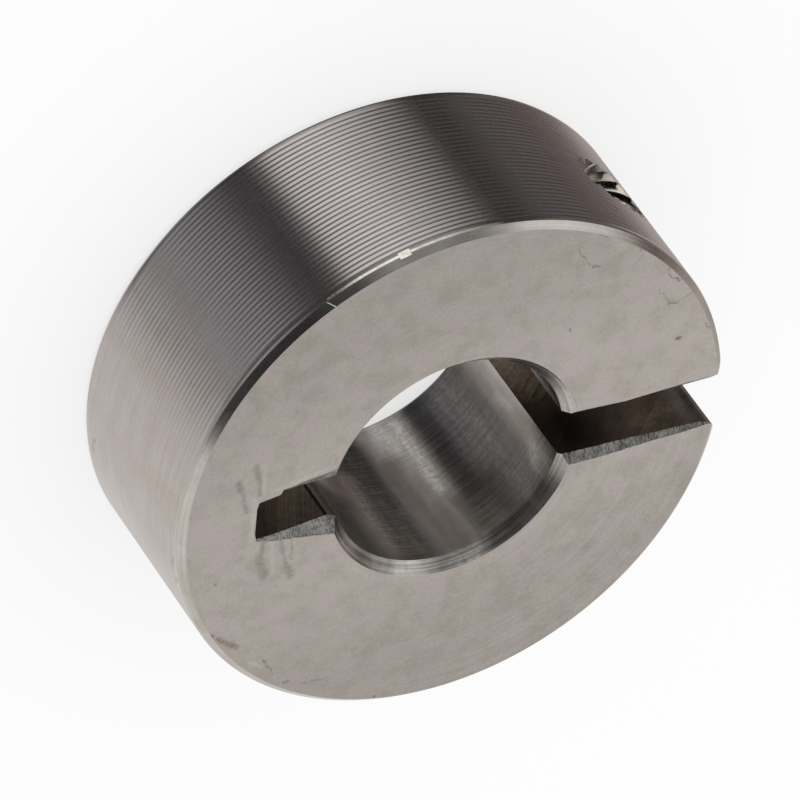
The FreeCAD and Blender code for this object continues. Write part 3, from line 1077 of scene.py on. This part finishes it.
# sawn walls: dark with burnt cutting oil, marked by the arcs of a round blade
sawLook = {
    "patch": 1.6,
    "steel": (0.25, 0.205, 0.18),
    "clouds": (0.40, 0.345, 0.285),
    "cloudShare": 0.8,
    "oil": (0.60, 0.535, 0.46),
    # both from (x, height) to (x, height), half width, strength
    "oilMarks": marksOn(onSawn, [
        (8.9, 8.1, 10.1, 7.6, 0.7, 0.65),
        (5.2, 2.4, 5.8, 5.0, 1.1, 1.00),
        (-7.2, 8.5, -5.9, 6.3, 1.0, 0.55),
    ]),
    "ragged": 1.6,
    "sootAndShadow": (0.03, 0.025, 0.02),
    "sootAndShadowMarks": marksOn(onSawn, [
        (5.55, 5.15, 6.30, 4.40, 0.16, 0.45),
        (5.75, 5.50, 6.45, 4.85, 0.14, 0.40),
        (5.25, 4.75, 6.10, 3.75, 0.12, 0.30),
        # painted shadow: a dark line down the corner where the slot meets the bore
        (-5.38, 9.0, -5.38, 2.0, 0.13, 1.0),
        (5.7, 8.4, 6.1, 6.8, 0.80, 0.4),
        (11.0, 8.7, 11.3, 7.0, 0.45, 0.4),
    ]),
    "cornerShadow": ((-5.0, -1.2, 9.0), (-5.0, -1.2, 2.0), 0.25, 0.50),    # painted shadow in the worn corner by the bore
    "darkeningX": [(8.5, 6.0), (0.0, 1.0)],     # in mm: the slit's inner half is darker all over its upper part
    "darkeningZ": (4.0, 6.0),
    "darkeningTone": (1.0, 0.5),
    "bladeCentre": (22.0, 0.0, 21.0),
    "linePitch": 0.11,
    "lineChange": 0.2,
    "lineTone": (0.85, 1.15),
    "roughness": (0.35, 0.5),
    "bump": 0.006,
}


def sawMetal(spec):
    material, tree, shader, place = newMetal("sawnWall")
    tone, colour = cloudySteel(tree, place, spec)
    fromBlade = vectorMath(tree, "DISTANCE", stretch(tree, place, (1, 0, 1)), spec["bladeCentre"])["Value"]
    arcs = toolLines(tree, dim(tree, place, spec["lineChange"]), fromBlade, spec["linePitch"])
    oil = raggedStrokes(tree, place, spec["oilMarks"], spec["ragged"])
    colour = mixColour(tree, oil, colour, spec["oil"])
    # soot marks, and painted shadow lines where the slot meets the bore
    sootAndShadow = strokes(tree, place, [*spec["sootAndShadowMarks"], spec["cornerShadow"]])
    colour = mixColour(tree, sootAndShadow, colour, spec["sootAndShadow"])
    split = parts(tree, place)
    outer, inner = [mapRange(tree, split["X"], *ends) for ends in spec["darkeningX"]]
    darkening = times(tree, times(tree, outer, inner), mapRange(tree, split["Z"], *spec["darkeningZ"]))
    colour = dim(tree, colour, mapRange(tree, darkening, 0, 1, *spec["darkeningTone"]))
    feed(tree, shader.inputs, {
        "Base Color": dim(tree, colour, mapRange(tree, arcs, 0, 1, *spec["lineTone"], kind="LINEAR")),
        "Roughness": mapRange(tree, tone["Grain"], 0, 1, *spec["roughness"]),
    })
    bumpFrom(tree, shader, arcs, spec["bump"])
    return material


# broken edges of the cut: short bright and dark strokes across the edge
filedLook = {
    "dark": (0.075, 0.07, 0.065),
    "light": (0.33, 0.32, 0.30),
    "perMm": (15.0, 6.0, 6.0),
    "patchShare": 0.5,
    "contrast": (0.55, 0.95),
    "flecks": (0.62, 0.72),
    "fleckDulls": 0.5,
    "roughness": (0.3, 0.55),
    "bump": 0.012,
}


def filedMetal(spec):
    material, tree, shader, place = newMetal("filedEdge")
    short = grain(tree, stretch(tree, place, spec["perMm"]), scale=1.0, detail=3.0, roughness=0.65)
    patch = grain(tree, place, scale=1.4, detail=3.0, roughness=0.6)
    share = mapRange(tree, plus(tree, short, times(tree, patch, spec["patchShare"])), *spec["contrast"])
    elsewhere = stretch(tree, place, spec["perMm"], shift=(3, 7, 1))
    fleck = mapRange(tree, grain(tree, elsewhere, scale=1.3, detail=2.0, roughness=0.5), *spec["flecks"])
    feed(tree, shader.inputs, {
        "Base Color": mixColour(tree, share, spec["dark"], spec["light"]),
        "Roughness": mapRange(tree, short, 0.3, 0.7, *spec["roughness"]),
        "Metallic": calc(tree, "SUBTRACT", 1.0, times(tree, fleck, spec["fleckDulls"])),
    })
    bumpFrom(tree, shader, short, spec["bump"])
    return material


# drilled, threaded and screw surfaces: clean steel, worn in patches, with lines round the Y axis
plainLooks = {
    # rubbed edge: bright with wear and with a painted glint
    "rubbedEdgeAndGlint": {"steel": (0.74, 0.71, 0.64), "clouds": (0.50, 0.47, 0.42), "roughness": (0.16, 0.30)},
    "drilledWall": {"steel": (0.40, 0.38, 0.36), "clouds": (0.30, 0.27, 0.24), "roughness": (0.28, 0.4)},
    "tappedThread": {"steel": (0.60, 0.56, 0.50), "clouds": (0.42, 0.38, 0.32), "roughness": (0.15, 0.25)},
    "screwSteel": {"steel": (0.45, 0.44, 0.43), "clouds": (0.36, 0.34, 0.32), "roughness": (0.22, 0.34)},
    "socketSteel": {"steel": (0.38, 0.37, 0.36), "clouds": (0.26, 0.25, 0.24), "roughness": (0.30, 0.42)},
}
plainWear = {
    "patch": 0.8,
    "cloudShare": 0.7,
    "linePitch": 0.08,
    "lineChange": 0.5,
    "lineTone": (0.9, 1.1),
}


def plainMetal(name, spec):
    material, tree, shader, place = newMetal(name)
    tone, colour = cloudySteel(tree, place, spec)
    lines = toolLines(tree, dim(tree, place, spec["lineChange"]), parts(tree, place)["Y"], spec["linePitch"])
    feed(tree, shader.inputs, {
        "Base Color": dim(tree, colour, mapRange(tree, lines, 0, 1, *spec["lineTone"], kind="LINEAR")),
        "Roughness": mapRange(tree, tone["Grain"], 0, 1, *spec["roughness"]),
    })
    return material


finish = {
    "wall": wallMetal(wallLook),
    "face": faceMetal(faceLook),
    "bore": boreMetal(boreLook),
    "chamfer": chamferMetal(chamferLook),
    "saw": sawMetal(sawLook),
    "filed": filedMetal(filedLook),
}
finish.update({name: plainMetal(name, {**plainWear, **look}) for name, look in plainLooks.items()})
print("finishes made:", len(finish))


collar = buildCollar(collarSpec, finish)
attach(collar, "collar")
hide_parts("collar_body")

screw = buildScrew(screwSpec, finish)
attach(screw, "screw")
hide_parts("clamp_screw")


# camera, fitted to the outlines in the photograph
cameraSpec = {
    "aim": (-0.19 * mm, -0.02 * mm, 4.5 * mm),
    "azimuth": 120.52,
    "elevation": 41.69,
    "distance": 455.1 * mm,
    "roll": 144.1,
    "lens": 515.1,
    "filmWidth": 36,
    "clip": (0.01, 10),
}

# studio
studioSpec = {
    "floorSize": 3.0,
    "floorColour": (0.97, 0.97, 0.97),
    "floorShare": 0.3,        # share of the floor's look that its own light and shadow make
}

# what the bare metal mirrors: white and dark cards all round, in rings one above the other,
# each as (azimuth in degrees, grey); the ring below and the level one are alike on the side away
# from the camera
farSide = [(-100, 1.0), (-75, 0.90), (-55, 0.88), (-42, 0.72), (-36, 0.57), (-30, 0.62), (-20, 0.66),
           (-10, 0.44), (0, 0.19), (10, 0.20)]
cardRings = {
    "deep": [(-180, 0.30), (-170, 0.50), (-160, 0.75), (-150, 0.85), (-107, 0.90), (-70, 0.60),
             (-50, 0.15), (-30, 0.06), (-14, 0.03), (0, 0.08), (10, 0.15), (21, 0.14), (30, 0.07),
             (45, 0.05), (52, 0.22), (58, 0.32), (64, 0.40), (80, 0.40), (95, 0.30), (112, 0.05),
             (140, 0.10), (160, 0.15), (176, 0.19), (180, 0.30)],
    "below": [(-180, 0.26), (-172, 0.62), (-160, 0.86), (-148, 0.92), *farSide, (20, 0.20),
              (29, 0.06), (50, 0.03), (56, 0.04), (60, 0.24), (66, 0.48), (80, 0.64), (95, 0.62),
              (106, 0.48), (112, 0.12), (116, 0.04), (128, 0.04), (140, 0.09), (160, 0.14),
              (172, 0.16), (180, 0.26)],
    "level": [(-180, 0.53), (-172, 0.76), (-160, 0.90), (-148, 0.96), *farSide, (36, 0.17),
              (42, 0.12), (47, 0.05), (57, 0.04), (62, 0.30), (70, 0.54), (79, 0.84), (92, 1.20),
              (110, 1.19), (115, 0.08), (122, 0.05), (128, 0.11), (134, 0.27), (142, 0.42),
              (154, 0.50), (165, 0.44), (174, 0.44), (180, 0.53)],
    "above": [(-180, 0.07), (-176, 0.10), (-169, 0.40), (-163, 0.98), (-150, 1.12), (-100, 1.04),
              (-75, 1.0), (-35, 0.86), (-8, 0.90), (0, 0.84), (10, 0.90), (22, 1.12), (34, 1.28),
              (44, 1.05), (52, 0.52), (60, 0.33), (72, 0.40), (95, 0.44), (108, 0.12), (116, 0.09),
              (122, 0.07), (135, 0.05), (150, 0.055), (168, 0.065), (180, 0.07)],
}
cardTints = [(-180, (0.99, 0.98, 1.04)), (-172, (1.0, 0.975, 0.945)), (-60, (1.0, 0.975, 0.945)),
             (-36, (1.0, 0.95, 0.925)), (-20, (1.0, 0.88, 0.85)), (-5, (1.0, 0.84, 0.81)),
             (25, (1.0, 0.84, 0.82)), (35, (1.0, 0.97, 0.98)), (115, (1.0, 0.98, 0.98)),
             (130, (0.99, 0.98, 1.05)), (180, (0.99, 0.98, 1.04))]
ringHeights = {
    "deep": (-48, -43),       # degrees where a ring gives way to the next one up
    "below": (-34, -26),
    "level": (12, 20),
    "above": (64, 72),
}


def throughLens(tree):
    path = addNode(tree, "LightPath").outputs
    seen = calc(tree, "MAXIMUM", path["Is Camera Ray"], path["Is Glossy Ray"])
    return calc(tree, "MAXIMUM", seen, path["Is Transmission Ray"])


def floorMaterial(spec):
    material = bpy.data.materials.new("floorPaper")
    material.use_nodes = True
    tree = material.node_tree
    tree.nodes.clear()
    paper = addNode(tree, "BsdfDiffuse", {"Color": (*spec["floorColour"], 1)}).outputs[0]
    white = addNode(tree, "Emission", {"Color": (1, 1, 1, 1)}).outputs[0]
    share = times(tree, throughLens(tree), 1 - spec["floorShare"])
    mix = addNode(tree, "MixShader", {"Fac": share, 1: paper, 2: white}).outputs[0]
    addNode(tree, "OutputMaterial", {"Surface": mix})
    return material


def addFloor(spec):
    bm = bmesh.new()
    bmesh.ops.create_grid(bm, x_segments=1, y_segments=1, size=spec["floorSize"] / 2)
    floor = newPiece("floor", bm, [floorMaterial(spec)])
    floor.visible_glossy = False    # in the photograph the metal mirrors dark cards there, not the table


def ringRamp(tree, share, stops):
    ramp = addNode(tree, "ValToRGB", {0: share})
    elements = ramp.color_ramp.elements
    for azimuth, colour in stops[1:-1]:
        elements.new((azimuth + 180) / 360)
    for element, (azimuth, colour) in zip(elements, stops):
        element.color = (*colour, 1) if isinstance(colour, tuple) else (colour, colour, colour, 1)
    return ramp.outputs["Color"]


# white all round for the floor and the camera; bare metal mirrors the rings of cards
def addWorld():
    world = bpy.data.worlds.new("studio")
    bpy.context.scene.world = world
    world.use_nodes = True
    tree = world.node_tree
    way = parts(tree, addNode(tree, "TexCoord").outputs["Generated"])
    share = mapRange(tree, calc(tree, "ARCTAN2", way["Y"], way["X"]), -math.pi, math.pi, kind="LINEAR")
    height = calc(tree, "DEGREES", calc(tree, "ARCSINE", way["Z"]))
    above = {name: mapRange(tree, height, *levels) for name, levels in ringHeights.items()}
    rings = {name: ringRamp(tree, share, stops) for name, stops in cardRings.items()}
    cards = mixColour(tree, above["deep"], rings["deep"], rings["below"])
    cards = mixColour(tree, above["below"], cards, rings["level"])
    tint = ringRamp(tree, share, cardTints)
    cards = vectorMath(tree, "MULTIPLY", cards, tint)[0]
    cards = mixColour(tree, above["level"], cards, rings["above"])
    cards = mixColour(tree, above["above"], cards, (1, 1, 1))
    glossy = addNode(tree, "LightPath").outputs["Is Glossy Ray"]
    tree.links.new(mixColour(tree, glossy, (1, 1, 1), cards), tree.nodes["Background"].inputs["Color"])
    world.cycles.sampling_method = "NONE"    # each kind of ray finds its own part of the surroundings


addFloor(studioSpec)
addWorld()
print("studio made")


def addCamera(spec):
    azimuth = math.radians(spec["azimuth"])
    elevation = math.radians(spec["elevation"])
    flat = math.cos(elevation)
    back = Vector((math.cos(azimuth) * flat, math.sin(azimuth) * flat, math.sin(elevation)))
    camera = bpy.data.objects.new("camera", bpy.data.cameras.new("camera"))
    camera.data.lens = spec["lens"]
    camera.data.sensor_width = spec["filmWidth"]
    camera.data.clip_start, camera.data.clip_end = spec["clip"]
    camera.rotation_mode = "QUATERNION"
    roll = Matrix.Rotation(math.radians(spec["roll"]), 3, "Z").to_quaternion()
    camera.rotation_quaternion = (-back).to_track_quat("-Z", "Y") @ roll
    camera.location = Vector(spec["aim"]) + back * spec["distance"]
    bpy.context.scene.collection.objects.link(camera)
    bpy.context.scene.camera = camera


addCamera(cameraSpec)
bpy.context.scene.view_settings.view_transform = "Standard"
